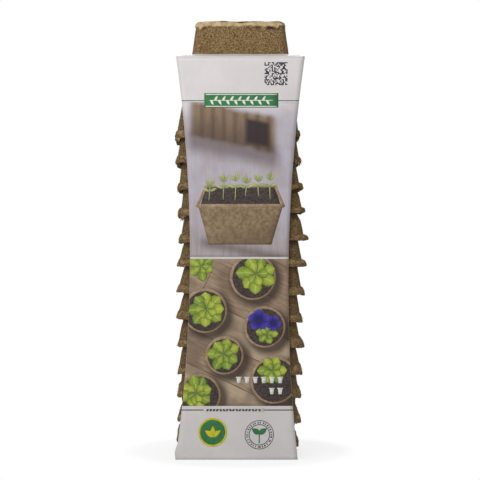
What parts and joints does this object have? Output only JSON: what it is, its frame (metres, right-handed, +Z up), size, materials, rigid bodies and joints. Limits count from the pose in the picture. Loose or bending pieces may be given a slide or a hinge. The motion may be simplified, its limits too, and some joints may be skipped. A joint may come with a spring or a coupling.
{
  "type": "peat pot",
  "caption": "Pack of square tapered peat-fibre pots nested mouth down in a waisted card sleeve with a window for the top pot's base.",
  "frame": {"origin": "centre of the pack's footprint, on the plane that the lowest pot's rim stands on", "axes": "+Z up along the stack, towards the base of the top pot; -Y towards the sleeve's printed front; +X to the right of that front"},
  "size_m": [0.0838, 0.0848, 0.2868],
  "materials": {
    "peat_fibre": "matte",
    "sleeve_card": "satin",
    "glue": "satin"
  },
  "bodies": {
    "pot_14": {"pot_14": "peat_fibre", "glue_dots_front": "glue", "glue_dots_back": "glue"},
    "pot_13": {"pot_13": "peat_fibre"},
    "pot_12": {"pot_12": "peat_fibre"},
    "pot_11": {"pot_11": "peat_fibre"},
    "pot_10": {"pot_10": "peat_fibre"},
    "pot_09": {"pot_09": "peat_fibre"},
    "pot_08": {"pot_08": "peat_fibre"},
    "pot_07": {"pot_07": "peat_fibre"},
    "pot_06": {"pot_06": "peat_fibre"},
    "pot_05": {"pot_05": "peat_fibre"},
    "pot_04": {"pot_04": "peat_fibre"},
    "pot_03": {"pot_03": "peat_fibre"},
    "pot_02": {"pot_02": "peat_fibre"},
    "pot_01": {"pot_01": "peat_fibre"},
    "sleeve_collar": {"sleeve_collar": "sleeve_card"},
    "sleeve_front": {"sleeve_front": "sleeve_card"},
    "sleeve_back": {"sleeve_back": "sleeve_card"}
  },
  "joints": [
    {"name": "pot_13_lift", "type": "slide", "parent": "pot_14", "child": "pot_13", "axis": [0, 0, 1], "range_m": [0, 0.075]},
    {"name": "pot_12_lift", "type": "slide", "parent": "pot_13", "child": "pot_12", "axis": [0, 0, 1], "range_m": [0, 0.075]},
    {"name": "pot_11_lift", "type": "slide", "parent": "pot_12", "child": "pot_11", "axis": [0, 0, 1], "range_m": [0, 0.075]},
    {"name": "pot_10_lift", "type": "slide", "parent": "pot_11", "child": "pot_10", "axis": [0, 0, 1], "range_m": [0, 0.075]},
    {"name": "pot_09_lift", "type": "slide", "parent": "pot_10", "child": "pot_09", "axis": [0, 0, 1], "range_m": [0, 0.075]},
    {"name": "pot_08_lift", "type": "slide", "parent": "pot_09", "child": "pot_08", "axis": [0, 0, 1], "range_m": [0, 0.075]},
    {"name": "pot_07_lift", "type": "slide", "parent": "pot_08", "child": "pot_07", "axis": [0, 0, 1], "range_m": [0, 0.075]},
    {"name": "pot_06_lift", "type": "slide", "parent": "pot_07", "child": "pot_06", "axis": [0, 0, 1], "range_m": [0, 0.075]},
    {"name": "pot_05_lift", "type": "slide", "parent": "pot_06", "child": "pot_05", "axis": [0, 0, 1], "range_m": [0, 0.075]},
    {"name": "pot_04_lift", "type": "slide", "parent": "pot_05", "child": "pot_04", "axis": [0, 0, 1], "range_m": [0, 0.075]},
    {"name": "pot_03_lift", "type": "slide", "parent": "pot_04", "child": "pot_03", "axis": [0, 0, 1], "range_m": [0, 0.075]},
    {"name": "pot_02_lift", "type": "slide", "parent": "pot_03", "child": "pot_02", "axis": [0, 0, 1], "range_m": [0, 0.075]},
    {"name": "pot_01_lift", "type": "slide", "parent": "pot_02", "child": "pot_01", "axis": [0, 0, 1], "range_m": [0, 0.075]},
    {"name": "sleeve_lift", "type": "slide", "parent": "pot_01", "child": "sleeve_collar", "axis": [0, 0, 1], "range_m": [0, 0.3]},
    {"name": "front_crease", "type": "hinge", "parent": "sleeve_collar", "child": "sleeve_front", "pos_m": [0, -0.04235, 0.26218], "axis": [-1, 0, 0], "range_deg": [0, 90]},
    {"name": "back_crease", "type": "hinge", "parent": "sleeve_collar", "child": "sleeve_back", "pos_m": [0, 0.04235, 0.26218], "axis": [1, 0, 0], "range_deg": [0, 90]}
  ]
}
